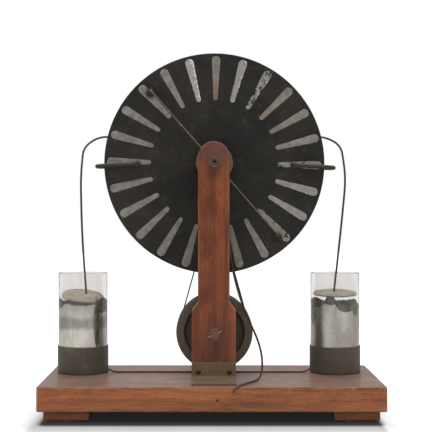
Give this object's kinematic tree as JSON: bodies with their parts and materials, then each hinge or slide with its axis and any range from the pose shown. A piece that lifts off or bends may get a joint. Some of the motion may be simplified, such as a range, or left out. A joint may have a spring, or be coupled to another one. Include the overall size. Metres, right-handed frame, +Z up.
{
  "type": "wimshurst machine",
  "caption": "Hand cranked electrostatic generator: counter-turning sectored plates between wooden uprights, neutralisers, collectors and a leyden jar at each end of a wooden base.",
  "frame": {"origin": "on the table under the middle of the whole machine, loose cord left out", "axes": "+X along the base to the right seen from the front, +Y from the front to the crank side, +Z up"},
  "size_m": [0.4466, 0.2281, 0.4853],
  "materials": {
    "base_wood": "varnished mahogany, worn",
    "foot_wood": "varnished mahogany",
    "upright_wood": "varnished mahogany, dark",
    "boss_wood": "turned and waxed",
    "grip_wood": "turned and polished",
    "pad_felt": "felt",
    "brass": "old lacquered, olive patina",
    "steel": "dull, darkened",
    "wheel_metal": "painted web, turned dusty rim",
    "ebonite": "satin, dusty, faintly browned",
    "tinfoil": "dull rubbed foil",
    "tinsel": "rust-brown tinsel",
    "cup_metal": "tarnished tinplate",
    "glass": "clear",
    "lid_card": "matt pasteboard",
    "wire_metal": "dark drawn wire",
    "cord": "waxed drive cord"
  },
  "bodies": {
    "root": {"base_board": "base_wood", "feet": "foot_wood", "foot_pads": "pad_felt", "front_upright": "upright_wood", "rear_upright": "upright_wood", "bracket_screws": "brass", "front_bracket": "brass", "rear_bracket": "brass", "main_axle": "steel", "front_axle_bush": "brass", "rear_axle_bush": "brass", "axle_nut": "brass", "axle_spacer": "brass", "cross_bar": "ebonite", "bar_screws": "brass", "collector_points": "brass", "terminals": "brass", "discharge_balls": "brass", "outer_coat_wire": "wire_metal", "drive_bushes": "brass", "drive_washers": "brass", "crossed_belt": "cord", "loose_cord": "cord", "left_collector": "brass", "left_jar_cup": "cup_metal", "left_jar_glass": "glass", "left_jar_foil": "tinfoil", "left_jar_lid": "lid_card", "left_jar_wire": "wire_metal", "right_collector": "brass", "right_jar_cup": "cup_metal", "right_jar_glass": "glass", "right_jar_foil": "tinfoil", "right_jar_lid": "lid_card", "right_jar_wire": "wire_metal"},
    "drive": {"front_drive_wheel": "wheel_metal", "rear_drive_wheel": "wheel_metal", "drive_axle": "steel", "drive_pin": "steel", "drive_spacers": "brass", "crank_arm": "steel", "crank_nut": "steel", "crank_pin": "steel"},
    "crank_handle": {"crank_grip": "grip_wood"},
    "front_disc": {"front_plate": "ebonite", "front_sectors": "tinfoil", "front_boss": "boss_wood", "front_boss_bush": "brass", "front_boss_screws": "brass"},
    "front_neutraliser": {"front_neutraliser_collar": "brass", "front_neutraliser_rod": "brass", "front_neutraliser_brushes": "tinsel"},
    "rear_disc": {"rear_plate": "ebonite", "rear_sectors": "tinfoil", "rear_boss": "boss_wood", "rear_boss_bush": "brass", "rear_boss_screws": "brass"},
    "rear_neutraliser": {"rear_neutraliser_collar": "brass", "rear_neutraliser_rod": "brass", "rear_neutraliser_brushes": "tinsel"}
  },
  "joints": [
    {"name": "crank_spin", "type": "hinge", "parent": "root", "child": "drive", "pos_m": [0.004, 0.06825, 0.106], "axis": [0, 1, 0], "continuous": true},
    {"name": "crank_handle_spin", "type": "hinge", "parent": "drive", "child": "crank_handle", "pos_m": [0.004, 0.06355, 0.062], "axis": [0, 1, 0], "continuous": true},
    {"name": "front_disc_spin", "type": "hinge", "parent": "root", "child": "front_disc", "pos_m": [0.004, 0.00365, 0.3348], "axis": [0, 1, 0], "continuous": true},
    {"name": "rear_disc_spin", "type": "hinge", "parent": "root", "child": "rear_disc", "pos_m": [0.004, 0.00365, 0.3348], "axis": [0, 1, 0], "continuous": true},
    {"name": "front_neutraliser_swivel", "type": "hinge", "parent": "root", "child": "front_neutraliser", "pos_m": [0.004, -0.02305, 0.3348], "axis": [0, 1, 0], "range_deg": [-30, 20]},
    {"name": "rear_neutraliser_swivel", "type": "hinge", "parent": "root", "child": "rear_neutraliser", "pos_m": [0.004, 0.03035, 0.3348], "axis": [0, 1, 0], "range_deg": [-25, 16]}
  ],
  "couplings": [
    {"joint": "rear_disc_spin", "follows": "crank_spin", "ratio": -3.6515}
  ]
}
